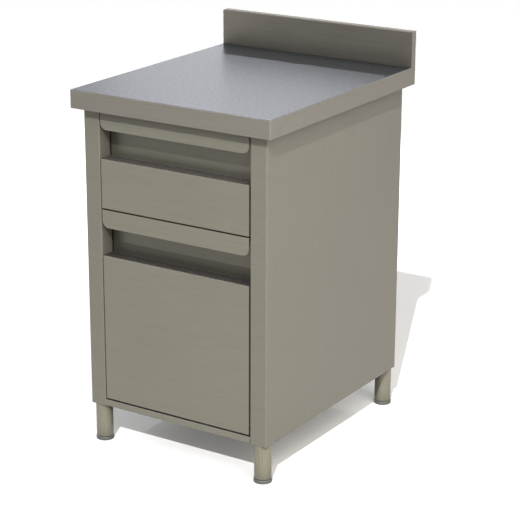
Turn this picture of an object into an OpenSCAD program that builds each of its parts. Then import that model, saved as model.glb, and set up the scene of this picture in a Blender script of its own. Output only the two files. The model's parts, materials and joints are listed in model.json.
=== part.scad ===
// Free-standing stainless steel drawer unit for a professional kitchen.
// X runs from left to right, the drawer fronts face -Y and Z is up.
// The origin is on the floor, under the centre of the worktop.

/* [Worktop] */
// Width of the worktop
top_w = 500; // [420:10:700]
// Depth of the worktop, with its upstand
top_d = 600; // [560:10:750]
// Height of the working surface above the floor
work_h = 800; // [760:10:900]
// Height of the folded edge
edge_h = 40; // [38:1:60]
// Width of the flange that returns under the edge
edge_return = 15; // [8:1:18]
// Height of the rear upstand above the working surface
upstand_h = 80; // [40:5:150]
// Thickness of the upstand, front to back
upstand_t = 20; // [16:1:30]
// Sheet thickness of the worktop
top_sheet = 1.5; // [1:0.1:2]
// Outside radius of the worktop's bends
top_bend_r = 2.5; // [2.2:0.1:4]
// Thickness of the board glued under the worktop
core_t = 18; // [12:1:22]
// Width of the flat crown of each stiffener under the board
stiffener_w = 40; // [25:1:80]
// Distance between the two stiffeners, centre to centre
stiffener_pitch = 260; // [160:10:320]

/* [Cabinet] */
// How far the worktop stands out past the cabinet on every side
overhang = 20; // [16:1:35]
// Height of the cabinet's underside above the floor
ground_gap = 88; // [70:1:110]
// Sheet thickness of the cabinet
sheet = 1.2; // [0.8:0.1:1.5]
// Outside radius of the cabinet's bends
bend_r = 2.5; // [2:0.1:3.5]
// Width of the upright on each side of the drawers
stile_w = 40; // [38:1:55]
// Depth of the flange that turns back beside the drawers
stile_return = 45; // [40:1:70]
// Height of the rail under the lower drawer
base_rail_h = 15.5; // [14:0.5:30]
// Gap round the drawer fronts
front_gap = 3; // [2:0.5:5]
// Width of the flanges along the top of the side panels
top_flange = 25; // [20:1:35]
// Width of the side panels' rear flange
rear_flange = 25; // [20:1:40]
// Depth of the two rails across the top of the cabinet
cross_rail_d = 32; // [25:1:60]

/* [Drawer fronts] */
// Height of the upper drawer front
upper_front_h = 212.5; // [210:0.5:240]
// Height of the pull lip that hangs over each grip
lip_h = 39; // [25:1:50]
// Height of the open grip under the lip
grip_open = 64; // [45:1:70]
// Depth of the grip recess
recess_d = 37; // [25:1:45]
// Radius of the lip's lower corners
lip_corner_r = 16; // [4:1:24]
// Sheet thickness of the fronts
front_sheet = 1.2; // [0.8:0.1:1.5]
// Outside radius of the bends in the fronts
front_bend_r = 2; // [1.8:0.1:3]
// Width of the flanges that stiffen the backing pan
liner_flange = 14; // [10:1:20]

/* [Drawer trays] */
// Height of the upper tray
upper_tray_h = 140; // [95:5:160]
// Height of the lower tray
lower_tray_h = 330; // [260:5:400]
// Height of the tray floor above the front's lower edge
tray_lift = 12; // [6:1:20]
// Sheet thickness of the trays
tray_sheet = 1; // [0.8:0.1:1.2]
// Outside radius of the bends along the tray floor
tray_bend_r = 3; // [2:0.5:5]
// Height of the folded safety hem round the tray's rim
hem_h = 9; // [6:1:14]
// Clear depth left behind the tray
tray_rear_gap = 24; // [15:1:60]

/* [Runners] */
// Overall thickness of a runner
rail_t = 12.7; // [12.4:0.1:14]
// Height of a runner
rail_h = 45; // [42:1:50]
// Sheet thickness of the runner members
rail_sheet = 1.2; // [1:0.1:1.3]
// Diameter of the balls
ball_d = 4; // [3.8:0.1:4.2]
// Radial running clearance of the balls
ball_gap = 0.05; // [0.03:0.01:0.08]
// Balls in each row of a cage
balls_per_row = 6; // [4:1:8]
// Length of a ball cage
cage_l = 230; // [180:5:260]
// Distance from the grip's back wall to the runners
rail_front_gap = 5; // [3:1:15]
// Distance from the runners to the back of the cabinet
rail_rear_gap = 18; // [12:1:60]
// Height of the upper runners' centre line above their tray floor
upper_rail_rise = 60; // [46:1:80]
// Height of the lower runners' centre line above their tray floor
lower_rail_rise = 160; // [60:1:220]
// Height of the channel that carries a runner
bracket_h = 70; // [56:1:80]
// Height of the channel's welding flanges
bracket_foot = 14; // [8:1:20]

/* [Legs] */
// Outside diameter of a leg
leg_d = 38; // [30:1:38]
// Wall thickness of a leg
leg_wall = 1.5; // [1:0.1:2]
// Distance from the cabinet's outer faces to the leg centres
leg_inset = 20; // [20:0.5:22]
// Thickness of the plate that carries a leg
leg_plate_t = 3; // [2:0.5:4]
// Length of the spigot inside the top of a leg
spigot_l = 30; // [15:1:34]
// Diameter of the adjustable foot
foot_d = 40; // [30:1:44]
// Height of the adjustable foot
foot_h = 8; // [6:1:14]
// Diameter of the foot's screw
stem_d = 10; // [8:1:12]
// Length of the foot's screw
stem_l = 42; // [35:1:50]
// Length of the plug pressed into a leg
plug_l = 28; // [15:1:36]

/* [Hidden] */
$fn = 48;
left = -1;
right = 1;
sides = [left, right];
side_names = ["left", "right"];
corners = [[left, -1], [right, -1], [left, 1], [right, 1]];
corner_names = ["front_left", "front_right", "rear_left", "rear_right"];
lower = 0;
upper = 1;
drawers = [lower, upper];
drawer_names = ["lower", "upper"];

// Steps that draw each bend
bend_steps = 4;
// Overlap that makes two shapes of one solid fuse, and lets a cut pass through
lap = 0.5;

// Cabinet, from the worktop inwards
body_w = top_w - 2 * overhang;
body_d = top_d - 2 * overhang;
front_y = -body_d / 2;
rear_y = body_d / 2;
body_top = work_h - edge_h;
inner_x = body_w / 2 - sheet;
open_x = body_w / 2 - stile_w;
deck_z = ground_gap + base_rail_h;
back_sheet = 1.2;
back_y = rear_y - sheet;
plate_room = 15;
flange_half = body_d / 2 - leg_inset - leg_d / 2 - plate_room;
bracket_front_gap = 5;

// Worktop inside
core_fit = 0.3;
core_z = work_h - top_sheet - core_t;
stiffener_end_gap = 7;
stiffener_foot = 20;
upturn_gap = 1.5;

// Drawer fronts
front_x = open_x - front_gap;
grip_y = front_y + recess_d;
wall_back_y = grip_y + front_sheet;
front_return = 32;
fold_end = 15;

// Drawer trays and runners
tray_x = open_x - rail_t;
tray_rear_y = rear_y - tray_rear_gap;
hem_gap = 0.4;
hem_w = 2 * tray_sheet + hem_gap;
bend_slack = 0.05;
hem_r = tray_sheet + hem_gap / 2 - bend_slack;
rail_y = grip_y + rail_front_gap;
rail_l = rear_y - rail_rear_gap - rail_y;
rail_end_gap = 10;
middle_setback = 2;

// Section of a runner. Positions across it count from the cabinet's side
groove_deep = 0.8;
race_r = ball_d / 2 + ball_gap;
ball_seat = race_r - groove_deep;
outer_strip = rail_h / 2 - groove_deep - rail_sheet;
middle_strip = outer_strip - 2 * ball_seat - rail_sheet;
inner_strip = middle_strip - 2 * ball_seat - rail_sheet;
cage_sheet = 0.6;
cage_gap = 0.4;
cage_set_in = 0.2;
row_set_off = 3;
race_rim = 0.75;
inner_race_rim = 0.25;
middle_web = rail_sheet + 2 * cage_gap + cage_sheet;
outer_row = middle_web + row_set_off;
inner_row = outer_row + ball_d;
row_margin = race_r + race_rim;
ball_hole_d = ball_d + 0.2;
cage_end = 15;
cage_mid_y = 5;
stop_h = 16;
stop_reach = 9;

// Legs and feet
plate_fit = bend_r - sheet + 0.2;
plate_bend_in = 0.5;
spigot_fit = 0.05;
spigot_wall = 2.5;
foot_rest_gap = 0.3;
plug_flange = 2;
plug_fit = 0.05;
stem_fit = 0.07;
leg_z = foot_h + foot_rest_gap + plug_flange;
leg_x = body_w / 2 - leg_inset;
leg_y = body_d / 2 - leg_inset;

// Fasteners
rivet_d = 4;
rivet_head_d = 8;
rivet_head_h = 1.2;
rivet_tail_d = 5.6;
rivet_tail_h = 1.6;
bolt_tail = 1.5;
bolt_d = 6;
bolt_head_d = 12;
bolt_head_h = 3.3;
nut_af = 10;
nut_h = 5;
screw_d = 5;
screw_head_d = 9.5;
screw_head_h = 2.8;
screw_nut_af = 8;
screw_nut_h = 4;
flush_d = 4;
flush_head_d = 7.4;
flush_nut_af = 7;
flush_nut_h = 3.2;

// Sizes that differ between the two drawers
function front_z1(d) = d == upper
    ? body_top - front_gap
    : body_top - 2 * front_gap - upper_front_h;
function front_z0(d) = d == upper
    ? body_top - front_gap - upper_front_h
    : deck_z + front_gap;
function lip_z(d) = front_z1(d) - lip_h;
function shelf_z(d) = lip_z(d) - grip_open;
function tray_z(d) = front_z0(d) + tray_lift;
function tray_h(d) = d == upper ? upper_tray_h : lower_tray_h;
function rail_z(d) = tray_z(d) + (d == upper ? upper_rail_rise : lower_rail_rise);

// Outlines of folded sheet
function unit(v) = v / norm(v);
function left_of(v) = [-v[1], v[0]];
function turned(v, a) = [v[0] * cos(a) - v[1] * sin(a), v[0] * sin(a) + v[1] * cos(a)];
function turn_at(p, q, r) =
    let (a = unit(q - p), b = unit(r - q))
    atan2(a[0] * b[1] - a[1] * b[0], a * b);

// Arc at corner q of the line p, q, r, drawn a distance off to the left of that line
function corner_arc(p, q, r, radius, off) =
    let (
        a = unit(q - p),
        turn = turn_at(p, q, r),
        way = sign(turn),
        centre = q - a * radius * tan(abs(turn) / 2) + way * radius * left_of(a)
    )
    [for (k = [0:bend_steps])
        centre - way * (radius - way * off) * turned(left_of(a), turn * k / bend_steps)];

// Radius of a bend on the face that the path follows, where the sheet lies to its left
function face_r(path, i, t, r) = turn_at(path[i - 1], path[i], path[i + 1]) > 0 ? r : r - t;

function sheet_side(path, t, r, off) =
    let (
        last = len(path) - 1,
        first_off = off * left_of(unit(path[1] - path[0])),
        last_off = off * left_of(unit(path[last] - path[last - 1]))
    )
    concat(
        [path[0] + first_off],
        [for (i = [1:last - 1])
            each corner_arc(path[i - 1], path[i], path[i + 1], face_r(path, i, t, r), off)],
        [path[last] + last_off]
    );

function reversed(l) = [for (i = [len(l) - 1:-1:0]) l[i]];

// Closed outline with its corners rounded, each by its own radius
function rounded(points, radii) =
    let (n = len(points))
    [for (i = [0:n - 1])
        each radii[i] > 0
            ? corner_arc(points[(i + n - 1) % n], points[i], points[(i + 1) % n], radii[i], 0)
            : [points[i]]];

// Section of a sheet of thickness t. The path is one face, and the sheet lies on its left
module folded(path, t, r) {
    polygon(concat(sheet_side(path, t, r, 0), reversed(sheet_side(path, t, r, t))));
}

// A section drawn in Y and Z, run along X
module along_x(x0, x1) {
    translate([x0, 0, 0]) rotate([90, 0, 90]) linear_extrude(x1 - x0) children();
}

// A section drawn in X and Z, run along Y
module along_y(y0, y1) {
    translate([0, y1, 0]) rotate([90, 0, 0]) linear_extrude(y1 - y0) children();
}

// A plan drawn in X and Y, run up from z0
module along_z(z0, z1) {
    translate([0, 0, z0]) linear_extrude(z1 - z0) children();
}

// Shapes are drawn for the right side, and mirrored for the left one
module on_side(s) {
    if (s == right) children();
    else mirror([1, 0, 0]) children();
}

// Shapes are drawn for the rear right corner, and mirrored for the others
module at_corner(c) {
    on_side(c[0])
        if (c[1] > 0) children();
        else mirror([0, 1, 0]) children();
}

// Fasteners stand on z = 0, with the head above and the shank below
module button_head(d, h) {
    rim = [d / 2, h * 0.35];
    shoulder = [d * 0.36, h * 0.85];
    crown = [d * 0.2, h];
    rotate_extrude() polygon([[0, 0], [d / 2, 0], rim, shoulder, crown, [0, h]]);
}

module rivet(grip) {
    button_head(rivet_head_d, rivet_head_h);
    translate([0, 0, -grip - lap]) cylinder(d = rivet_d, h = grip + 2 * lap);
    translate([0, 0, -grip - rivet_tail_h]) cylinder(d = rivet_tail_d, h = rivet_tail_h);
}

module hex_nut(af, h) {
    cylinder(d = af / cos(30), h = h, $fn = 6);
}

module bolt(d, head_d, head_h, grip, af, nut) {
    tip = -grip - nut - bolt_tail;
    button_head(head_d, head_h);
    translate([0, 0, tip]) cylinder(d = d, h = lap - tip);
    translate([0, 0, -grip - nut]) hex_nut(af, nut);
}

// Outer form of the worktop, set in by its sheet for the hollow inside it
module top_form(inset, low) {
    fy = -top_d / 2 + inset;
    ry = top_d / 2 - inset;
    uy = top_d / 2 - upstand_t + inset;
    hx = top_w / 2 - inset;
    zt = work_h - inset;
    zu = work_h + upstand_h - inset;
    r = top_bend_r - inset;
    cove = top_bend_r - top_sheet + inset;
    intersection() {
        along_x(-hx, hx)
            polygon(rounded(
                [[fy, low], [ry, low], [ry, zu], [uy, zu], [uy, zt], [fy, zt]],
                [0, 0, r, r, cove, r]));
        union() {
            along_y(fy - lap, uy + r)
                polygon(rounded([[-hx, low], [hx, low], [hx, zt], [-hx, zt]], [0, 0, r, r]));
            along_y(uy, ry + lap)
                polygon(rounded([[-hx, low], [hx, low], [hx, zu], [-hx, zu]], [0, 0, r, r]));
        }
        along_z(low, zu)
            polygon(rounded([[-hx, fy], [hx, fy], [hx, ry], [-hx, ry]], [r, r, r, r]));
    }
}

module worktop() {
    color("silver") {
        difference() {
            top_form(0, body_top);
            top_form(top_sheet, body_top - lap);
        }
        along_z(body_top, body_top + top_sheet)
            difference() {
                square([top_w - top_sheet, top_d - top_sheet], center = true);
                square([top_w - 2 * edge_return, top_d - 2 * edge_return], center = true);
            }
    }
}

module worktop_core() {
    inset = 2 * (top_bend_r + core_fit);
    color("burlywood")
        along_z(core_z, core_z + core_t)
            square([top_w - inset, top_d - inset], center = true);
}

module worktop_stiffeners() {
    end_x = top_w / 2 - edge_return - stiffener_end_gap;
    half = stiffener_w / 2;
    foot = half + stiffener_foot;
    crown = core_z - sheet;
    color("lightgray")
        for (yc = [-stiffener_pitch / 2, stiffener_pitch / 2])
            difference() {
                along_x(-end_x, end_x)
                    folded(
                        [[yc - foot, body_top], [yc - half, body_top], [yc - half, crown],
                         [yc + half, crown], [yc + half, body_top], [yc + foot, body_top]],
                        sheet, bend_r);
                for (b = worktop_bolt_places())
                    translate([b[0], b[1], body_top - lap])
                        cylinder(d = bolt_d, h = sheet + 2 * lap);
            }
}

// Each stiffener is bolted to the side panels through its outer foot
function worktop_bolt_places() = [
    for (s = sides) for (e = [-1, 1])
        [s * (inner_x - top_flange / 2),
         e * (stiffener_pitch / 2 + stiffener_w / 2 + stiffener_foot / 2)]];

module worktop_bolts() {
    color("silver")
        for (b = worktop_bolt_places())
            translate([b[0], b[1], body_top - sheet])
                mirror([0, 0, 1])
                    bolt(bolt_d, bolt_head_d, bolt_head_h, 2 * sheet, nut_af, nut_h);
}

module side_panel(s) {
    hx = body_w / 2;
    post_y = front_y + stile_return;
    color("silver")
        on_side(s)
            difference() {
                union() {
                    along_z(ground_gap, body_top)
                        folded(
                            [[open_x + fold_end, post_y], [open_x, post_y], [open_x, front_y],
                             [hx, front_y], [hx, rear_y], [hx - rear_flange, rear_y]],
                            sheet, bend_r);
                    translate([inner_x - top_flange, post_y, body_top - sheet])
                        cube([top_flange + sheet / 2, back_y - back_sheet - post_y, sheet]);
                    translate([inner_x - fold_end, -flange_half, ground_gap])
                        cube([fold_end + sheet / 2, 2 * flange_half, sheet]);
                }
                for (b = worktop_bolt_places())
                    translate([b[0], b[1], body_top - sheet - lap])
                        cylinder(d = bolt_d, h = sheet + 2 * lap);
                for (p = back_rivet_places())
                    translate([p[0], rear_y + lap, p[1]])
                        rotate([90, 0, 0]) cylinder(d = rivet_d, h = sheet + 2 * lap);
            }
}

// The back panel lies inside the side panels' rear flanges
module back_panel() {
    hx = inner_x + sheet - bend_r - lap;
    color("silver")
        difference() {
            along_y(back_y - back_sheet, back_y)
                translate([-hx, ground_gap + leg_plate_t])
                    square([2 * hx, body_top - ground_gap - leg_plate_t]);
            for (p = back_rivet_places())
                translate([p[0], back_y + lap, p[1]])
                    rotate([90, 0, 0]) cylinder(d = rivet_d, h = back_sheet + 2 * lap);
        }
}

rivet_rows = 5;
rivet_end = 45;
function back_rivet_places() =
    let (
        z0 = ground_gap + rivet_end,
        pitch = (body_top - rivet_end - z0) / (rivet_rows - 1)
    )
    [for (s = sides) for (i = [0:rivet_rows - 1])
        [s * (body_w / 2 - rear_flange / 2), z0 + i * pitch]];

module back_rivets() {
    color("gainsboro")
        for (p = back_rivet_places())
            translate([p[0], rear_y, p[1]])
                rotate([-90, 0, 0]) rivet(sheet + back_sheet);
}

// The deck under the lower drawer, folded down in front as the bottom rail
module bottom_panel() {
    deck_back = back_y - back_sheet;
    post_y = front_y + stile_return;
    rail_return = 15;
    deck_mid = deck_z - sheet / 2;
    side_z = ground_gap + sheet;
    rear_z = ground_gap + leg_plate_t;
    rear_half = inner_x - leg_plate_t - plate_fit;
    color("silver") {
        along_x(-open_x, open_x)
            folded(
                [[deck_back - sheet, deck_z], [front_y, deck_z], [front_y, ground_gap],
                 [front_y + rail_return, ground_gap]],
                sheet, bend_r);
        translate([-inner_x, post_y, deck_z - sheet])
            cube([2 * inner_x, deck_back - post_y, sheet]);
        for (s = sides)
            on_side(s)
                translate([inner_x - sheet, -flange_half, side_z])
                    cube([sheet, 2 * flange_half, deck_mid - side_z]);
        translate([-rear_half, deck_back - sheet, rear_z])
            cube([2 * rear_half, sheet, deck_mid - rear_z]);
    }
}

// Angles across the top of the cabinet, turned up inside the worktop's edge
module cross_rail(half, y_end, y_turn) {
    way = sign(y_end - y_turn);
    up_z = core_z - upturn_gap;
    flat = [y_end, body_top];
    bend = [y_turn, body_top];
    tip = [y_turn, up_z];
    along_x(-half, half)
        if (way < 0) folded([tip, bend, flat], sheet, bend_r);
        else mirror([1, 0])
            folded([[-tip[0], tip[1]], [-bend[0], bend[1]], [-flat[0], flat[1]]], sheet, bend_r);
}

module front_top_rail() {
    color("silver") cross_rail(open_x, front_y, front_y + cross_rail_d);
}

module rear_top_rail() {
    end_y = back_y - back_sheet;
    color("silver") cross_rail(inner_x - top_flange, end_y, end_y - cross_rail_d);
}

// Hat channel from the side panel to the line of the stile, one for each runner
module bracket(d, s) {
    z = rail_z(d);
    web_back = open_x + sheet;
    leg_in = bracket_h / 2 - sheet;
    foot = bracket_h / 2 + bracket_foot;
    y0 = front_y + stile_return + bracket_front_gap;
    color("lightgray")
        on_side(s)
            difference() {
                along_y(y0, rail_y + rail_l)
                    folded(
                        [[inner_x, z - foot], [inner_x, z - leg_in], [web_back, z - leg_in],
                         [web_back, z + leg_in], [inner_x, z + leg_in], [inner_x, z + foot]],
                        sheet, bend_r);
                for (y = rail_screw_ys())
                    translate([open_x - lap, y, z])
                        rotate([0, 90, 0]) cylinder(d = flush_d, h = sheet + 2 * lap);
            }
}

// Three flush screws fix each cabinet rail to its bracket
function rail_screw_ys() = [for (share = [0.1, 0.5, 0.9]) rail_y + rail_l * share];

module runner_screws() {
    head_r = flush_head_d / 2;
    grip = rail_sheet + sheet;
    color("gainsboro")
        for (d = drawers) for (s = sides) for (y = rail_screw_ys())
            on_side(s)
                translate([open_x - rail_sheet, y, rail_z(d)])
                    rotate([0, 90, 0]) {
                        cylinder(r1 = head_r, r2 = flush_d / 2, h = rail_sheet);
                        cylinder(d = flush_d, h = grip + flush_nut_h + bolt_tail);
                        translate([0, 0, grip]) hex_nut(flush_nut_af, flush_nut_h);
                    }
}

// Flange of a rail, with a groove rolled into it for each row of balls.
// Rows in above run on its upper face, and rows in below run on its lower one
module rail_flange(v, u0, u1, above, below) {
    difference() {
        union() {
            translate([u0, v]) square([u1 - u0, rail_sheet]);
            for (u = above)
                intersection() {
                    translate([u, v + rail_sheet + ball_seat]) circle(race_r + rail_sheet);
                    translate([u - rail_h / 2, v + rail_sheet - rail_h])
                        square([rail_h, rail_h]);
                }
            for (u = below)
                intersection() {
                    translate([u, v - ball_seat]) circle(race_r + rail_sheet);
                    translate([u - rail_h / 2, v]) square([rail_h, rail_h]);
                }
        }
        for (u = above) translate([u, v + rail_sheet + ball_seat]) circle(race_r);
        for (u = below) translate([u, v - ball_seat]) circle(race_r);
    }
}

module both_flanges() {
    children();
    mirror([0, 1]) children();
}

// A rail section is drawn from the bracket's face, and set on the right of the cabinet
module rail_at(d, s, y0, y1) {
    on_side(s)
        along_y(y0, y1)
            translate([open_x, rail_z(d)]) mirror([1, 0]) children();
}

module cabinet_rail(d, s) {
    web = outer_strip + rail_sheet;
    y1 = rail_y + rail_l;
    color("lightsteelblue")
        difference() {
            union() {
                rail_at(d, s, rail_y, y1) {
                    translate([0, -web]) square([rail_sheet, 2 * web]);
                    both_flanges()
                        rail_flange(outer_strip, 0, outer_row + row_margin, [], [outer_row]);
                }
                rail_at(d, s, y1 - rail_sheet, y1)
                    translate([0, -stop_h / 2]) square([stop_reach, stop_h]);
            }
            for (y = rail_screw_ys())
                on_side(s)
                    translate([open_x - rail_sheet, y, rail_z(d)])
                        rotate([0, 90, 0])
                            cylinder(r1 = flush_head_d / 2, r2 = flush_d / 2, h = rail_sheet);
        }
}

module middle_rail(d, s) {
    web = middle_strip + rail_sheet;
    color("lightsteelblue")
        rail_at(d, s, rail_y + middle_setback, rail_y + rail_l - rail_end_gap) {
            translate([middle_web, -web]) square([rail_sheet, 2 * web]);
            both_flanges()
                rail_flange(middle_strip, middle_web, inner_row + row_margin, [outer_row], [inner_row]);
        }
}

module drawer_rail(d, s) {
    web = inner_strip + rail_sheet;
    edge = inner_row - race_r - inner_race_rim;
    color("lightsteelblue")
        difference() {
            rail_at(d, s, rail_y, rail_y + rail_l - rail_end_gap) {
                translate([rail_t - rail_sheet, -web]) square([rail_sheet, 2 * web]);
                both_flanges() rail_flange(inner_strip, edge, rail_t, [inner_row], []);
            }
            for (y = tray_rivet_ys())
                on_side(s)
                    translate([tray_x - lap, y, rail_z(d)])
                        rotate([0, 90, 0]) cylinder(d = rivet_d, h = rail_sheet + 2 * lap);
        }
}

// Balls sit in holes in the flanges of a thin channel
module ball_cage(d, s, u_web, row, v) {
    y0 = cage_mid_y - cage_l / 2;
    pitch = (cage_l - 2 * cage_end) / (balls_per_row - 1);
    reach = row + row_margin - cage_set_in;
    x = open_x - row;
    tip = v + cage_sheet / 2;
    difference() {
        rail_at(d, s, y0, y0 + cage_l) {
            translate([u_web, -tip]) square([cage_sheet, 2 * tip]);
            both_flanges() translate([u_web, tip - cage_sheet]) square([reach - u_web, cage_sheet]);
        }
        for (i = [0:balls_per_row - 1])
            on_side(s)
                translate([x, y0 + cage_end + i * pitch, rail_z(d)])
                    cylinder(d = ball_hole_d, h = rail_h, center = true);
    }
    for (i = [0:balls_per_row - 1]) for (up = [-1, 1])
        on_side(s)
            translate([x, y0 + cage_end + i * pitch, rail_z(d) + up * v]) sphere(d = ball_d);
}

module outer_cage(d, s) {
    color("goldenrod")
        ball_cage(d, s, rail_sheet + cage_gap, outer_row, outer_strip - ball_seat);
}

module inner_cage(d, s) {
    color("goldenrod")
        ball_cage(d, s, middle_web + rail_sheet + cage_gap, inner_row, middle_strip - ball_seat);
}

// One sheet makes the lip, the roof, the back wall and the shelf of the grip, and the face
module drawer_front(d) {
    z0 = front_z0(d);
    z1 = front_z1(d);
    shelf = shelf_z(d);
    roof = z1 - front_sheet;
    lip_y = front_y + front_sheet;
    color("silver")
        difference() {
            union() {
                along_x(-front_x, front_x)
                    folded(
                        [[lip_y, lip_z(d)], [lip_y, roof], [grip_y, roof], [grip_y, shelf],
                         [front_y, shelf], [front_y, z0], [front_y + front_return, z0]],
                        front_sheet, front_bend_r);
                for (s = sides)
                    on_side(s)
                        along_x(front_x - front_sheet, front_x)
                            polygon(rounded(
                                [[front_y, z0], [front_y + front_return, z0],
                                 [front_y + front_return, shelf], [front_y, shelf]],
                                [front_bend_r, 0, 0, front_bend_r]));
            }
            for (s = sides) on_side(s) lip_corner_cut(lip_z(d));
        }
}

module lip_corner_cut(z) {
    c = [front_x - lip_corner_r, z + lip_corner_r];
    along_y(front_y - lap, front_y + front_sheet + lap)
        difference() {
            translate([c[0], z - lap]) square([lip_corner_r + lap, lip_corner_r + lap]);
            translate(c) circle(lip_corner_r);
        }
}

// Pan that closes the back of the front below the grip
module front_liner(d) {
    low = front_z0(d) + front_sheet;
    high = shelf_z(d) - front_sheet;
    hx = front_x - front_sheet;
    back = wall_back_y;
    color("lightgray")
        difference() {
            along_x(-hx, hx)
                folded(
                    [[back - liner_flange, low], [back, low], [back, high],
                     [back - liner_flange, high]],
                    front_sheet, front_bend_r);
            for (p = front_screw_places(d))
                translate([p[0], back + lap, p[1]])
                    rotate([90, 0, 0]) cylinder(d = screw_d, h = front_sheet + 2 * lap);
        }
}

front_screw_x = 120;
front_screw_low = 25;
function front_screw_places(d) = [
    for (s = sides)
        for (z = [tray_z(d) + front_screw_low,
                  min(shelf_z(d), tray_z(d) + tray_h(d) - hem_h) - front_screw_low])
            [s * front_screw_x, z]];

tray_rivet_end = 40;
function tray_rivet_ys() =
    let (first = rail_y + tray_rivet_end, last = rail_y + rail_l - rail_end_gap - tray_rivet_end)
    [first, (first + last) / 2, last];

module tray(d) {
    z0 = tray_z(d);
    z1 = z0 + tray_h(d);
    t = tray_sheet;
    y0 = wall_back_y;
    y1 = tray_rear_y;
    xh = tray_x - hem_w;
    wall_x = tray_x - t / 2;
    color("gainsboro")
        difference() {
            union() {
                along_y(y0, y1)
                    tray_section(z0, z1, xh);
                along_x(-wall_x, wall_x)
                    folded(
                        [[y1, z0 + t / 2], [y1, z1], [y1 - hem_w, z1], [y1 - hem_w, z1 - hem_h]],
                        t, hem_r);
                along_x(-wall_x, wall_x)
                    folded(
                        [[y0 + hem_w, z1 - hem_h], [y0 + hem_w, z1], [y0, z1], [y0, z0 + t / 2]],
                        t, hem_r);
            }
            for (y = tray_rivet_ys()) for (s = sides)
                on_side(s)
                    translate([tray_x + lap, y, rail_z(d)])
                        rotate([0, -90, 0]) cylinder(d = rivet_d, h = t + 2 * lap);
            for (p = front_screw_places(d))
                translate([p[0], y0 + t + lap, p[1]])
                    rotate([90, 0, 0]) cylinder(d = screw_d, h = t + 2 * lap);
        }
}

// Floor and side walls, with a hem folded inwards along each rim
module tray_section(z0, z1, xh) {
    floor_z = z0 + tray_bend_r;
    for (s = sides)
        mirror([s == right ? 0 : 1, 0])
            folded(
                [[tray_x, floor_z - lap], [tray_x, z1], [xh, z1], [xh, z1 - hem_h]],
                tray_sheet, hem_r);
    folded(
        [[-tray_x, floor_z], [-tray_x, z0], [tray_x, z0], [tray_x, floor_z]],
        tray_sheet, tray_bend_r - bend_slack);
}

module drawer_fasteners(d) {
    color("gainsboro") {
        for (y = tray_rivet_ys()) for (s = sides)
            on_side(s)
                translate([tray_x - tray_sheet, y, rail_z(d)])
                    rotate([0, -90, 0]) rivet(tray_sheet + rail_sheet);
        for (p = front_screw_places(d))
            translate([p[0], wall_back_y + tray_sheet, p[1]])
                rotate([-90, 0, 0])
                    bolt(screw_d, screw_head_d, screw_head_h, tray_sheet + front_sheet,
                        screw_nut_af, screw_nut_h);
    }
}

// Angle welded into a bottom corner of the cabinet, with a spigot for the leg
module leg_plate(c) {
    reach = back_y - plate_fit;
    depth = stile_return - 2 * sheet - 2 * plate_fit;
    in_x = open_x + sheet;
    up_z = deck_z - sheet;
    spigot_d = leg_d - 2 * leg_wall - 2 * spigot_fit;
    color("lightgray")
        at_corner(c) {
            along_y(reach - depth, reach)
                folded(
                    [[in_x, ground_gap], [inner_x, ground_gap], [inner_x, up_z]],
                    leg_plate_t, leg_plate_t + plate_bend_in);
            translate([leg_x, leg_y, ground_gap - spigot_l])
                difference() {
                    cylinder(d = spigot_d, h = spigot_l + leg_plate_t / 2);
                    translate([0, 0, -lap])
                        cylinder(d = spigot_d - 2 * spigot_wall, h = spigot_l + lap);
                }
        }
}

module leg(c) {
    color("silver")
        at_corner(c)
            translate([leg_x, leg_y, leg_z])
                difference() {
                    cylinder(d = leg_d, h = ground_gap - leg_z);
                    translate([0, 0, -lap])
                        cylinder(d = leg_d - 2 * leg_wall, h = ground_gap - leg_z + 2 * lap);
                }
}

// Plug pressed into the bottom of a leg, with ribs that grip the tube
module leg_plug(c) {
    bore_r = stem_d / 2 + stem_fit;
    rib_r = leg_d / 2 - leg_wall - plug_fit;
    core_r = rib_r - 1;
    edge = 0.5;
    ribs = 4;
    rib_pitch = plug_l / ribs;
    rib_shape = [[core_r, 0.3], [rib_r, 0.4], [rib_r, 0.6], [core_r, 0.9]];
    color("dimgray")
        at_corner(c)
            translate([leg_x, leg_y, leg_z - plug_flange])
                rotate_extrude()
                    polygon(concat(
                        [[bore_r, 0], [leg_d / 2 - edge, 0], [leg_d / 2, edge],
                         [leg_d / 2, plug_flange], [core_r, plug_flange]],
                        [for (i = [0:ribs - 1]) for (p = rib_shape)
                            [p[0], plug_flange + (i + p[1]) * rib_pitch]],
                        [[core_r, plug_flange + plug_l], [bore_r, plug_flange + plug_l]]));
}

// Adjustable foot, with a screw that runs in the plug
module foot(c) {
    r = foot_d / 2;
    stem_r = stem_d / 2;
    edge = 1;
    top_edge = 1.6;
    color("black")
        at_corner(c)
            translate([leg_x, leg_y, 0])
                rotate_extrude()
                    polygon([
                        [0, 0], [r - edge, 0], [r, edge], [r, foot_h - top_edge],
                        [r - top_edge, foot_h], [stem_r, foot_h], [stem_r, foot_h + stem_l - edge],
                        [stem_r - edge, foot_h + stem_l], [0, foot_h + stem_l]]);
}

worktop();
worktop_core();
worktop_stiffeners();
worktop_bolts();
side_panel(left);  // left_side_panel
side_panel(right);  // right_side_panel
back_panel();
back_rivets();
bottom_panel();
front_top_rail();
rear_top_rail();
runner_screws();
for (i = [0:3]) {
    leg_plate(corners[i]);
    leg(corners[i]);
    leg_plug(corners[i]);
    foot(corners[i]);
}
for (d = drawers) {
    name = drawer_names[d];
    drawer_front(d);
    front_liner(d);
    tray(d);
    drawer_fasteners(d);
    for (i = [0, 1]) {
        pre = str(name, "_", side_names[i], "_");
        s = sides[i];
        bracket(d, s);
        cabinet_rail(d, s);
        middle_rail(d, s);
        drawer_rail(d, s);
        outer_cage(d, s);
        inner_cage(d, s);
    }
}
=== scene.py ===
"""Looks of a stainless steel drawer unit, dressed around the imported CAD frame."""
import json
import math

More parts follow.
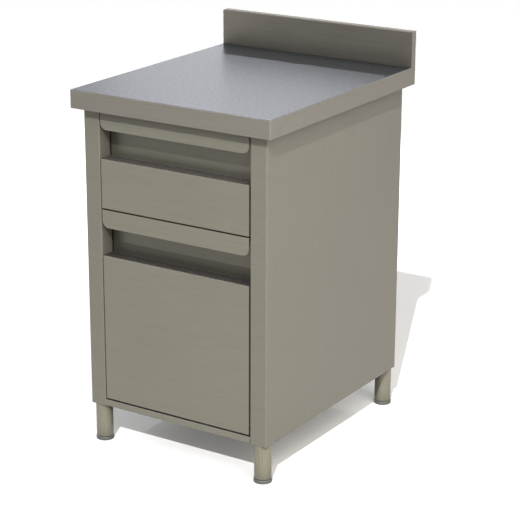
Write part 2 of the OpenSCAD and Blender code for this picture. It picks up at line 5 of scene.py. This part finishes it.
import bpy
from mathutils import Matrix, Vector


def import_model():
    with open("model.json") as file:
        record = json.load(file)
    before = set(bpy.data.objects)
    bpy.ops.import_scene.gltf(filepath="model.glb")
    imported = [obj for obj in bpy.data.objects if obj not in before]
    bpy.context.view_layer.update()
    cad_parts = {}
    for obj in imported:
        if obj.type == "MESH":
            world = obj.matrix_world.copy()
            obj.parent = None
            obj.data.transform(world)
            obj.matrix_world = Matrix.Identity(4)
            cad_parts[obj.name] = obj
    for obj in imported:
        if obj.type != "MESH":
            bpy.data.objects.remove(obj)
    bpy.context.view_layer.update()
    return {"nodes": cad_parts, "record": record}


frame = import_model()
nodes = frame["nodes"]
record = frame["record"]

# Axes of a vertex's place. Sizes and places are in metres, and angles in degrees
X, Y, Z = range(3)

# Camera, solved from the corner points of the photograph
CAMERA_POS = (2.1242, -3.2529, 1.6622)
CAMERA_AZIMUTH = 33.282
CAMERA_ELEVATION = 18.723
FOCAL_PIXELS = 1832.1
IMAGE_PIXELS = 520
CENTRE_PIXEL = (243.01, 276.83)
SENSOR_MM = 36.0
CLIP_END = 50.0

# Directions from the unit to the suns. That of the key is read from the photograph's shadows
KEY_DIRECTION = (0.435, -1.0, 1.05)
BACK_DIRECTION = (-0.466, 0.696, 0.546)

# Lamps: the point that they aim at, the distance of the suns, and the colours of the light
AIM = (0.0, 0.0, 0.45)
SUN_DISTANCE = 4.0
PLAIN_LIGHT = (1.0, 1.0, 1.0)
WARM_LIGHT = (1.0, 0.95, 0.88)

# World and floor: their white to the eye, the dimmer values that light the unit, and the
# strength of the floor's glow
WHITE = (1.0, 1.0, 1.0, 1.0)
WORLD_LIGHT = 0.04
FLOOR_LIGHT = (0.3, 0.3, 0.3, 1.0)
FLOOR_SIZE = 14.0
FLOOR_GLOW = 0.1

# The floor's white grows from the first factor to the second between these distances from
# its middle
FLOOR_DISTANCES = (0.6, 2.5)
FLOOR_WHITES = (0.88, 1.05)

# Tones of the steel, as sRGB colours in 0 to 255
WORKTOP_TONE = (119, 116, 108)
# Tone of the blasted top, whose bluish tint is a painted reflection of sky
BLASTED_SKY_TINTED_TONE = (116, 118, 123)
# Darker tone of the upstand's front: painted shade
UPSTAND_SHADED_TONE = (106, 103, 96)
SIDE_TONE = (119, 116, 106)
FRONT_TONE = (121, 119, 108)
# Lighter, pinker tone of the fronts' upward faces, which makes the grips' shelves look lit:
# painted light
SHELF_LIT_TONE = (146, 141, 139)
LEG_TONE = (130, 127, 113)

# Roughness, and the share of bare metal in the brushed finish
SHEET_ROUGH = 0.34
WORKTOP_ROUGH = 0.33
LEG_ROUGH = 0.28
SHEET_METALLIC = 0.24

# Plain sheets and small steel parts by slot: their tone, roughness and share of bare metal
PLAIN_STEELS = {
    "back_steel": ((134, 132, 121), 0.33, SHEET_METALLIC),
    "tray_steel": ((158, 157, 152), 0.3, SHEET_METALLIC),
    "inner_steel": ((146, 145, 140), 0.36, SHEET_METALLIC),
    "runner_zinc": ((172, 176, 182), 0.26, 0.9),
    "cage_steel": ((172, 164, 138), 0.34, 0.85),
    "fastener_steel": ((176, 176, 174), 0.28, 0.9),
}

# Linear tones of the moulded plastics by slot, and of the board's chips
PLASTICS = {
    "plug_plastic": (0.035, 0.035, 0.034, 1.0),
    "foot_plastic": (0.09, 0.09, 0.083, 1.0),
}
DARK_CHIP = (0.48, 0.33, 0.19, 1.0)
PALE_CHIP = (0.66, 0.5, 0.32, 1.0)

# Hairlines: the scales of their fine and broad noise along X, Y and Z, in waves per metre
LEVEL_GRAIN = ((30.0, 30.0, 900.0), (12.0, 12.0, 260.0))
UPRIGHT_GRAIN = ((30.0, 900.0, 30.0), (12.0, 260.0, 12.0))
TUBE_GRAIN = ((600.0, 600.0, 20.0), (180.0, 180.0, 8.0))
HAIRLINE_BUMP = 0.04
HAIRLINE_DEPTH = 0.0003

# Shade of the hairlines: the noise from the darkest to the palest line, and how far they differ
LINE_NOISE = (0.38, 0.62)
LINE_CONTRAST = 0.024

# Blasted faces: the scales of their even grain, and how far its grains differ
BLAST_FINE = 420.0
BLAST_BROAD = 130.0
BLAST_CONTRAST = 0.192

# Slow drift of the tone, from one factor to another
DRIFT_SCALE = 4.0
DRIFT_NOISE = (0.3, 0.7)
DRIFT_SHADE = (0.985, 1.015)

# The roughness follows the broad noise, by this much up and down
ROUGH_NOISE = (0.35, 0.65)
ROUGH_SPREAD = 0.02

# Tint of the steel's reflections
SPECULAR_TINT = (0.4, 0.4, 0.4, 1.0)

# Worn folds: the largest part of the normal from flat to folded, and how far the tone changes
FOLD_FLATNESS = (0.99, 0.92)
FOLD_SCALE = 55.0
FOLD_NOISE = (0.4, 0.6)
FOLD_WEAR = (-0.04, 0.08)

# Corners, whose base colour gets painted shade: how far they reach, the rays that look for them,
# how open they are from tight to free, and the painted shade in tight ones
CORNER_REACH = 0.05
CORNER_SAMPLES = 6
CORNER_OPENNESS = (0.25, 0.95)
CORNER_SHADE = 0.4
SIDE_CORNER_SHADE = 0.75
WALL_CORNER_SHADE = 0.8

# A face looks up or sideways, or ahead, where its normal's part that way is past these values
LOOKS = 0.7
LOOKS_AHEAD = 0.5

# Rims, which are the upward faces of the lips and of the upstand: how near to a rim's height
# they are looked for, and the roughness that they gain
RIM_REACH = 0.004
RIM_DULLNESS = 0.3

# Bare metal on the worktop: how far below the work surface it starts, its share of metal, and
# the roughness that the upstand's front gains
BARE_MARGIN = 0.0005
BARE_METALLIC = 0.88
UPSTAND_DULLNESS = 0.18

# Grips: where their painted shade starts behind the front and ends before the wall, and what the
# wall and the shelf get
GRIP_START = 0.004
GRIP_END = 0.002
WALL_SHADE = 0.7
WALL_METALLIC = 0.6
SHELF_METALLIC = 0.85
SHELF_DULLNESS = 0.12

# Band of painted shade on the lower grip's wall: the drops from the lip's top to its ends, which
# are the lower edge of the lip's shadow and the shelf, and its painted shade from the shelf up
LIP_TO_LIGHT = 0.078
LIP_TO_SHELF = 0.105
BAND_SHADE = (0.7, 0.5)

# Painted shade of a slit on the uprights' returns: how far it passes the fronts' ends, how far
# before the grip's wall it starts, and its painted shade from the wall's depth on
SLIT_PAST_FRONT = 0.005
SLIT_FADE = 0.004
SLIT_SHADE = 0.1

# Plastic: fine spark-eroded grain, and scuffs that change its tone and roughness
SPARK_SCALE = 1800.0
SPARK_BUMP = 0.25
SPARK_DEPTH = 0.0002
SCUFF_SCALE = 60.0
SCUFF_TONE_NOISE = (0.35, 0.7)
SCUFF_TONE = (0.85, 1.25)
SCUFF_ROUGH_NOISE = (0.3, 0.7)
SCUFF_ROUGH = (0.42, 0.62)

# Board: the scales of its chips and of the dust on them, and what the dust does to the surface
CHIP_SCALE = 260.0
DUST_SCALE = 700.0
DUST_NOISE = (0.3, 0.7)
DUST_TONE = (0.8, 1.1)
DUST_BUMP = 0.4
DUST_DEPTH = 0.0005
BOARD_ROUGH = 0.85


def camera():
    """Sets the photograph's view."""
    data = bpy.data.cameras.new("camera")
    data.sensor_width = SENSOR_MM
    data.lens = SENSOR_MM * FOCAL_PIXELS / IMAGE_PIXELS
    data.shift_x = (IMAGE_PIXELS / 2 - CENTRE_PIXEL[0]) / IMAGE_PIXELS
    data.shift_y = (CENTRE_PIXEL[1] - IMAGE_PIXELS / 2) / IMAGE_PIXELS
    data.clip_end = CLIP_END
    obj = bpy.data.objects.new("camera", data)
    obj.location = CAMERA_POS
    az = math.radians(CAMERA_AZIMUTH)
    el = math.radians(CAMERA_ELEVATION)
    forward = Vector((-math.sin(az) * math.cos(el), math.cos(az) * math.cos(el), -math.sin(el)))
    obj.rotation_euler = forward.to_track_quat("-Z", "Y").to_euler()
    bpy.context.scene.collection.objects.link(obj)
    bpy.context.scene.camera = obj


def span(node, axis):
    """Least and largest place of a CAD node along an axis."""
    places = [v.co[axis] for v in nodes[node].data.vertices]
    return min(places), max(places)


def rgb(r, g, b):
    """Linear colour of an sRGB colour in 0 to 255."""
    def one(v):
        v /= 255
        return v / 12.92 if v <= 0.04045 else ((v + 0.055) / 1.055) ** 2.4
    return (one(r), one(g), one(b), 1.0)


class Tree:
    """Short calls that build the node tree of a material or a world.

    Each input is a number, a colour or the output of another node.
    """

    def __init__(self, owner):
        self.owner = owner
        owner.use_nodes = True
        self.tree = owner.node_tree
        self.tree.nodes.clear()

    def fill(self, socket, value):
        """Links an output to an input, or sets the input's value."""
        if isinstance(value, bpy.types.NodeSocket):
            self.tree.links.new(value, socket)
        else:
            socket.default_value = value

    def add(self, kind, inputs=None, **settings):
        """Adds a node with its inputs by name or number, and its settings."""
        node = self.tree.nodes.new(kind)
        for key, value in settings.items():
            setattr(node, key, value)
        for key, value in (inputs or {}).items():
            self.fill(node.inputs[key], value)
        return node

    def math(self, operation, a, b=0.0):
        """Result of one operation on one or two numbers."""
        return self.add("ShaderNodeMath", {0: a, 1: b}, operation=operation).outputs[0]

    def product(self, first, *others):
        """Product of two or more numbers."""
        for other in others:
            first = self.math("MULTIPLY", first, other)
        return first

    def parts(self, vector):
        """Parts of a vector along X, Y and Z, by name."""
        return self.add("ShaderNodeSeparateXYZ", {"Vector": vector}).outputs

    def scaled(self, vector, scale):
        """Vector with its three parts scaled each by its own factor."""
        inputs = {"Vector": vector, "Scale": scale}
        return self.add("ShaderNodeMapping", inputs).outputs[0]

    def noise(self, vector, scale=1.0, detail=2.0, rough=0.5):
        """Noise in 0 to 1 with a scale in waves per metre."""
        inputs = {"Vector": vector, "Scale": scale, "Detail": detail, "Roughness": rough}
        return self.add("ShaderNodeTexNoise", inputs).outputs["Fac"]

    def ramp(self, value, low, high, to_low, to_high):
        """Number that runs between two values while another one runs from low to high."""
        inputs = {"Value": value, "From Min": low, "From Max": high,
                  "To Min": to_low, "To Max": to_high}
        return self.add("ShaderNodeMapRange", inputs).outputs[0]

    def blend(self, factor, a, b):
        """Colour or vector that is a where the factor is 0, and b where it is 1."""
        node = self.add("ShaderNodeMix", data_type="RGBA")
        for name, value in (("Factor", factor), ("A", a), ("B", b)):
            socket = [s for s in node.inputs if s.name == name and s.enabled][0]
            self.fill(socket, value)
        return [s for s in node.outputs if s.enabled][0]

    def pick(self, factor, a, b):
        """Number that is a where the factor is 0, and b where it is 1."""
        return self.add("ShaderNodeMix", {0: factor, 2: a, 3: b}, data_type="FLOAT").outputs[0]

    def times(self, colour, factor):
        """Colour scaled by a factor."""
        plain = colour if isinstance(colour, bpy.types.NodeSocket) else colour[:3]
        inputs = {0: plain, "Scale": factor}
        return self.add("ShaderNodeVectorMath", inputs, operation="SCALE").outputs[0]

    def bump(self, height, strength, depth):
        """Normal of a surface that rises and falls with a height in 0 to 1."""
        inputs = {"Height": height, "Strength": strength, "Distance": depth}
        return self.add("ShaderNodeBump", inputs).outputs[0]

    def seen(self):
        """1 where the camera or a reflection sees it, and 0 where it only gives light."""
        path = self.add("ShaderNodeLightPath").outputs
        sight = self.math("MAXIMUM", path["Is Camera Ray"], path["Is Glossy Ray"])
        return self.math("MAXIMUM", sight, path["Is Transmission Ray"])

    def surface(self, inputs):
        """Closes a material with one Principled shader, and returns it."""
        shader = self.add("ShaderNodeBsdfPrincipled", inputs)
        self.add("ShaderNodeOutputMaterial", {"Surface": shader.outputs[0]})
        return self.owner


class Steel(Tree):
    """Brushed stainless steel, with painted shade in its corners."""

    def __init__(self, name, tone, rough, metallic):
        super().__init__(bpy.data.materials.new(name))
        coords = self.add("ShaderNodeTexCoord").outputs
        self.place = coords["Object"]
        self.at = self.parts(self.place)
        self.facing = self.parts(coords["Normal"])
        self.up = self.math("GREATER_THAN", self.facing["Z"], LOOKS)
        self.colour = rgb(*tone)
        self.rough = rough
        self.metallic = metallic
        self.contrast = LINE_CONTRAST
        self.dullness = 0.0
        self.corner_shade = CORNER_SHADE
        self.shades = []

    def brush(self, grain, side_grain=None):
        """Lays the hairlines, with a grain of their own on faces that look along X if given."""
        places = [self.scaled(self.place, scale) for scale in grain]
        if side_grain is not None:
            sideways = self.math("GREATER_THAN", self.math("ABSOLUTE", self.facing["X"]), LOOKS)
            places = [self.blend(sideways, place, self.scaled(self.place, scale))
                      for place, scale in zip(places, side_grain)]
        self.fine, self.broad = [self.noise(place) for place in places]

    def wear_folds(self):
        """Rubs the folds of the sheet a little paler in places."""
        flatness = 0.0
        for axis in "XYZ":
            flatness = self.math("MAXIMUM", flatness, self.math("ABSOLUTE", self.facing[axis]))
        folded = self.ramp(flatness, *FOLD_FLATNESS, 0.0, 1.0)
        rubs = self.noise(self.place, FOLD_SCALE, detail=4.0, rough=0.7)
        worn = self.product(folded, self.ramp(rubs, *FOLD_NOISE, *FOLD_WEAR))
        self.shades.append(self.math("ADD", worn, 1.0))

    def spare_rims(self, heights):
        """Dulls the upward faces at some heights, which no later call treats as tops."""
        rim = 0.0
        for height in heights:
            apart = self.math("ABSOLUTE", self.math("SUBTRACT", self.at["Z"], height))
            rim = self.math("MAXIMUM", rim, self.math("LESS_THAN", apart, RIM_REACH))
        rim = self.product(self.up, rim)
        self.up = self.math("SUBTRACT", self.up, rim)
        self.dull(rim, RIM_DULLNESS)

    def dull(self, where, extra):
        """Adds to the roughness where a mask is 1."""
        self.dullness = self.math("ADD", self.dullness, self.product(where, extra))

    def bare(self, height, tone):
        """Bares the metal of the faces above a height that look up or ahead."""
        ahead = self.math("LESS_THAN", self.facing["Y"], -LOOKS_AHEAD)
        above = self.math("GREATER_THAN", self.at["Z"], height)
        bared = self.product(above, self.math("MAXIMUM", self.up, ahead))
        self.colour = self.blend(bared, self.colour, tone)
        self.metallic = self.pick(bared, self.metallic, BARE_METALLIC)
        self.dull(self.product(bared, ahead), UPSTAND_DULLNESS)

    def blast(self, tone):
        """Gives the faces that look up an even grain, and a tone that carries painted light."""
        self.colour = self.blend(self.up, self.colour, tone)
        fine = self.noise(self.place, BLAST_FINE, rough=0.7)
        broad = self.noise(self.place, BLAST_BROAD, rough=0.6)
        self.fine = self.pick(self.up, self.fine, fine)
        self.broad = self.pick(self.up, self.broad, broad)
        self.contrast = self.pick(self.up, self.contrast, BLAST_CONTRAST)

    def shade_and_bare_grip(self, start, end):
        """Paints shade into a grip and bares it from one depth to another, and bares its shelf."""
        # Painted shade, deeper towards the grip's wall
        self.shades.append(self.ramp(self.at["Y"], start, end, 1.0, WALL_SHADE))
        wall = self.ramp(self.at["Y"], start, end, self.metallic, WALL_METALLIC)
        self.metallic = self.pick(self.up, wall, SHELF_METALLIC)
        self.dull(self.up, SHELF_DULLNESS)
        self.corner_shade = self.ramp(self.at["Y"], start, end, self.corner_shade,
                                      WALL_CORNER_SHADE)

    def paint_band_shade(self, low, high, start):
        """Paints shade on what lies between two heights and behind a depth."""
        band = self.product(self.math("LESS_THAN", self.at["Z"], high),
                            self.math("GREATER_THAN", self.at["Z"], low),
                            self.math("GREATER_THAN", self.at["Y"], start))
        self.shades.append(self.pick(band, 1.0, self.ramp(self.at["Z"], low, high, *BAND_SHADE)))

    def paint_slit_shade(self, reach, start, end):
        """Paints shade on what lies within a reach of the middle, from one depth to another."""
        near = self.math("LESS_THAN", self.math("ABSOLUTE", self.at["X"]), reach)
        fade = self.ramp(self.at["Y"], start, end, 1.0, SLIT_SHADE)
        self.shades.append(self.pick(near, 1.0, fade))

    def finish(self):
        """Shades the hairlines, paints shade into the corners, closes the material and returns it.
        """
        lines = self.math("ADD", self.ramp(self.fine, *LINE_NOISE, -1.0, 1.0),
                          self.ramp(self.broad, *LINE_NOISE, -1.0, 1.0))
        lines = self.math("ADD", self.product(lines, self.contrast), 1.0)
        drift = self.ramp(self.noise(self.place, DRIFT_SCALE), *DRIFT_NOISE, *DRIFT_SHADE)
        # Painted shade: the base colour darkens where other faces hem the surface in
        openness = self.add("ShaderNodeAmbientOcclusion", {"Distance": CORNER_REACH},
                            samples=CORNER_SAMPLES).outputs["AO"]
        corner = self.ramp(openness, *CORNER_OPENNESS, self.corner_shade, 1.0)
        shade = self.product(lines, drift, *self.shades, corner)
        roughness = self.ramp(self.broad, *ROUGH_NOISE, self.rough - ROUGH_SPREAD,
                              self.rough + ROUGH_SPREAD)
        return self.surface({
            "Base Color": self.times(self.colour, shade),
            "Metallic": self.metallic,
            "Specular Tint": SPECULAR_TINT,
            "Roughness": self.math("ADD", roughness, self.dullness),
            "Normal": self.bump(self.fine, HAIRLINE_BUMP, HAIRLINE_DEPTH),
        })


def sheet(name, tone, rough=SHEET_ROUGH, metallic=SHEET_METALLIC, side_grain=None):
    """Folded sheet with level hairlines and worn folds, open for more traits."""
    steel = Steel(name, tone, rough, metallic)
    steel.brush(LEVEL_GRAIN, side_grain)
    steel.wear_folds()
    return steel


def worktop_steel(name):
    """Brushed edges, a blasted top with a sheen, and painted shade on the upstand's bare front."""
    # The upstand is at the rear, so the front half's highest place is the work surface
    surface_z = max(v.co.z for v in nodes["worktop"].data.vertices if v.co.y < 0)
    upstand_z = span("worktop", Z)[1]
    steel = sheet(name, WORKTOP_TONE, rough=WORKTOP_ROUGH)
    steel.spare_rims([upstand_z])
    # The upstand's front gets a darker tone: painted shade
    steel.bare(surface_z - BARE_MARGIN, rgb(*UPSTAND_SHADED_TONE))
    # Blasted top: its grain, and a tone with a painted bluish tint of reflected sky
    steel.blast(rgb(*BLASTED_SKY_TINTED_TONE))
    return steel.finish()


def side_steel(name):
    """Side panels brushed upright, with painted shade on their returns behind the grips' walls."""
    wall_y = span("upper_front", Y)[1]
    end_x = span("upper_front", X)[1]
    steel = sheet(name, SIDE_TONE, side_grain=UPRIGHT_GRAIN)
    steel.corner_shade = SIDE_CORNER_SHADE
    # Painted shade in the slit behind the grips' walls
    steel.paint_slit_shade(end_x + SLIT_PAST_FRONT, wall_y - SLIT_FADE, wall_y)
    return steel.finish()


def front_steel(name):
    """Drawer fronts with painted shade in the grips and in a band on the lower grip's wall."""
    front_y, wall_y = span("upper_front", Y)
    upper_lip = span("upper_front", Z)[1]
    lower_lip = span("lower_front", Z)[1]
    grip_y = front_y + GRIP_START
    steel = sheet(name, FRONT_TONE)
    steel.spare_rims([upper_lip, lower_lip])
    # Upward faces, the grips' shelves among them, get an even grain and a lighter tone: painted
    # light
    steel.blast(rgb(*SHELF_LIT_TONE))
    # Painted shade in the grips
    steel.shade_and_bare_grip(grip_y, wall_y - GRIP_END)
    # Painted shade in a band on the lower grip's wall
    steel.paint_band_shade(lower_lip - LIP_TO_SHELF, lower_lip - LIP_TO_LIGHT, grip_y)
    return steel.finish()


def leg_steel(name):
    """Round tube with hairlines that run along it."""
    steel = Steel(name, LEG_TONE, LEG_ROUGH, SHEET_METALLIC)
    steel.brush(TUBE_GRAIN)
    return steel.finish()


def plastic(name, tone):
    """Moulded plastic with a fine spark-eroded grain and scuffs."""
    t = Tree(bpy.data.materials.new(name))
    place = t.add("ShaderNodeTexCoord").outputs["Object"]
    grain = t.noise(place, SPARK_SCALE, rough=0.6)
    scuff = t.noise(place, SCUFF_SCALE, detail=4.0, rough=0.7)
    return t.surface({
        "Base Color": t.times(tone, t.ramp(scuff, *SCUFF_TONE_NOISE, *SCUFF_TONE)),
        "Roughness": t.ramp(scuff, *SCUFF_ROUGH_NOISE, *SCUFF_ROUGH),
        "Normal": t.bump(grain, SPARK_BUMP, SPARK_DEPTH),
    })


def chipboard(name):
    """Pressed wood chips in two tones."""
    t = Tree(bpy.data.materials.new(name))
    place = t.add("ShaderNodeTexCoord").outputs["Object"]
    chips = t.add("ShaderNodeTexVoronoi", {"Vector": place, "Scale": CHIP_SCALE})
    dust = t.noise(place, DUST_SCALE, detail=3.0, rough=0.6)
    shade = t.add("ShaderNodeSeparateColor", {"Color": chips.outputs["Color"]}).outputs[0]
    colour = t.blend(shade, DARK_CHIP, PALE_CHIP)
    return t.surface({
        "Base Color": t.times(colour, t.ramp(dust, *DUST_NOISE, *DUST_TONE)),
        "Roughness": BOARD_ROUGH,
        "Normal": t.bump(dust, DUST_BUMP, DUST_DEPTH),
    })


def materials():
    """One material for each slot of the record."""
    return {
        "worktop_steel": worktop_steel("worktop_steel"),
        "side_steel": side_steel("side_steel"),
        "front_steel": front_steel("front_steel"),
        "leg_steel": leg_steel("leg_steel"),
        "core_board": chipboard("core_board"),
        **{slot: sheet(slot, *look).finish() for slot, look in PLAIN_STEELS.items()},
        **{slot: plastic(slot, tone) for slot, tone in PLASTICS.items()},
    }


def dress(made):
    """Gives every CAD node the material of its slot."""
    slots = {s["node"]: s["material_slot"] for s in record["subparts"]}
    for name, obj in nodes.items():
        obj.data.materials.clear()
        obj.data.materials.append(made[slots[name]])


def world():
    """Makes the world white to the eye and in reflections, and dim as a light."""
    surroundings = bpy.data.worlds.new("studio")
    bpy.context.scene.world = surroundings
    t = Tree(surroundings)
    strength = t.ramp(t.seen(), 0.0, 1.0, WORLD_LIGHT, 1.0)
    back = t.add("ShaderNodeBackground", {"Color": WHITE, "Strength": strength})
    t.add("ShaderNodeOutputWorld", {"Surface": back.outputs[0]})


def lay_floor():
    """Lays a white floor that glows a little, so that the unit's shadow on it stays pale."""
    bpy.ops.mesh.primitive_plane_add(size=FLOOR_SIZE)
    floor = bpy.context.object
    floor.name = "floor"
    t = Tree(bpy.data.materials.new("floor"))
    seen = t.seen()
    place = t.add("ShaderNodeTexCoord").outputs["Object"]
    away = t.add("ShaderNodeVectorMath", {0: place}, operation="LENGTH").outputs["Value"]
    white = t.times(WHITE, t.ramp(away, *FLOOR_DISTANCES, *FLOOR_WHITES))
    diffuse = t.add("ShaderNodeBsdfDiffuse", {"Color": t.blend(seen, FLOOR_LIGHT, white)})
    glow = t.add("ShaderNodeEmission", {"Strength": t.product(seen, FLOOR_GLOW)})
    both = t.add("ShaderNodeAddShader", {0: diffuse.outputs[0], 1: glow.outputs[0]})
    t.add("ShaderNodeOutputMaterial", {"Surface": both.outputs[0]})
    floor.data.materials.append(t.owner)


def lamps():
    """Lights the unit from the front right, with a weak sun and soft panels round it."""
    sun("key", strength=3.26, angle=0.7, direction=KEY_DIRECTION)
    sun("back", strength=0.46, angle=1.2, direction=BACK_DIRECTION)
    soft("side", watts=52.0, size=1.9, direction=(1.0, -0.6, 0.72), distance=2.1,
         colour=WARM_LIGHT)
    soft("left", watts=24.0, size=2.0, direction=(-1.0, 0.1, 0.3), distance=2.5)
    soft("tail", watts=20.0, size=2.0, direction=(-0.4, 1.0, 0.25), distance=2.5)


def sun(name, strength, angle, direction):
    """Adds a far lamp that spans an angle in degrees."""
    data = bpy.data.lights.new(name, "SUN")
    data.energy = strength
    data.angle = math.radians(angle)
    lamp(data, direction, SUN_DISTANCE)


def soft(name, watts, size, direction, distance, colour=PLAIN_LIGHT):
    """Adds a square panel of light."""
    data = bpy.data.lights.new(name, "AREA")
    data.color = colour
    data.energy = watts
    data.size = size
    lamp(data, direction, distance)


def lamp(data, direction, distance):
    """Places a lamp out along a direction, aimed at the middle of the unit."""
    obj = bpy.data.objects.new(data.name, data)
    way = Vector(direction).normalized()
    obj.location = Vector(AIM) + way * distance
    obj.rotation_euler = (-way).to_track_quat("-Z", "Y").to_euler()
    bpy.context.scene.collection.objects.link(obj)


camera()
dress(materials())
world()
lay_floor()
lamps()

bpy.context.scene.view_settings.view_transform = "Standard"
